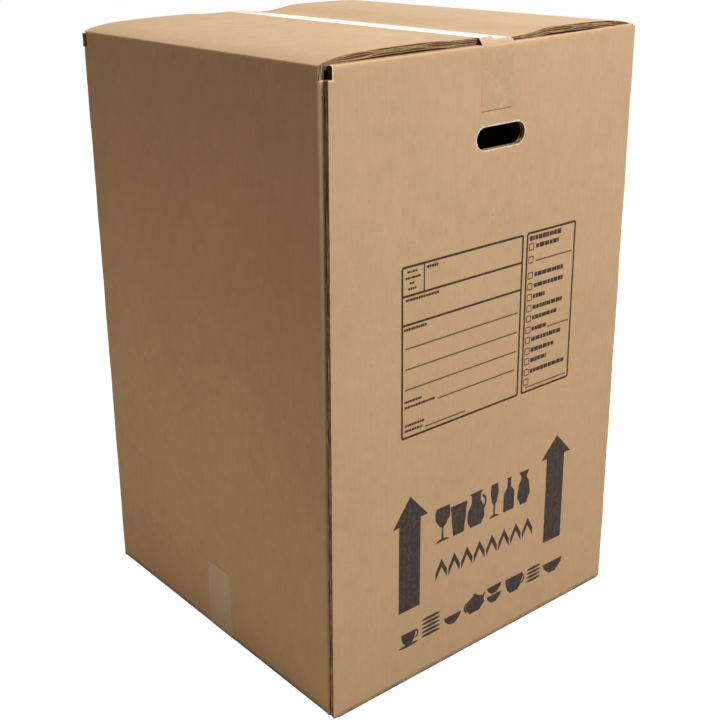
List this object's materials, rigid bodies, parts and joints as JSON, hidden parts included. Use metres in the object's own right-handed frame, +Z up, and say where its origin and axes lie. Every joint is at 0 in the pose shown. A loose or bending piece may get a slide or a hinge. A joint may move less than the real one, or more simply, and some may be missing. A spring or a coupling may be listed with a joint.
{
  "type": "dish pack box",
  "caption": "Tall closed double-wall moving carton for dishes, with hand holes in two panels and clear tape over its top and bottom seams.",
  "frame": {"origin": "middle of the base, on the surface that the carton stands on", "axes": "+Z up the walls; the printed panel with the packing list faces -Y; the glued corner joint is the upright edge at -X -Y"},
  "size_m": [0.4722, 0.4722, 0.746],
  "materials": {
    "kraft_board": "uncoated brown kraft liner, matt, with faint upright flute lines",
    "clear_tape": "clear glossy packing tape over kraft",
    "print_ink": "matt dark brown water-based ink"
  },
  "bodies": {
    "root": {"carton": "kraft_board", "top_tape": "clear_tape", "bottom_tape": "clear_tape"}
  },
  "joints": []
}
